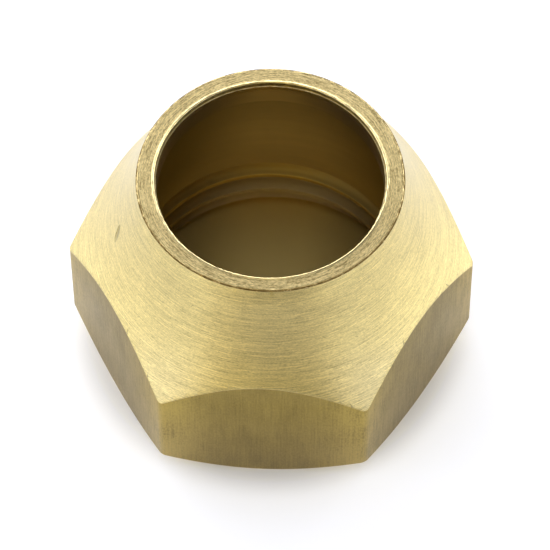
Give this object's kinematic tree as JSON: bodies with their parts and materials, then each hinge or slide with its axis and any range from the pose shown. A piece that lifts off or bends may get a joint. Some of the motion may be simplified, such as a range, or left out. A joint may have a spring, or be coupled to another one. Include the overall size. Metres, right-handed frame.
{
  "type": "hexagon compression nut",
  "caption": "Brass hexagon nut with a hollow-swept turned collar and a smooth bore, for clamping a tube to a threaded fitting.",
  "frame": {"origin": "centre of the foot, the open threaded end that the nut stands on", "axes": "+Z along the nut's axis, from the threaded foot towards the tube end face; flats face -Y and +Y, corners point along -X and +X"},
  "size_m": [0.0276, 0.024, 0.018],
  "materials": {
    "brass_nut": "turned collar with fine circular marks, drawn flats and a rough-turned end face"
  },
  "bodies": {
    "root": {"nut_body": "brass_nut"}
  },
  "joints": []
}
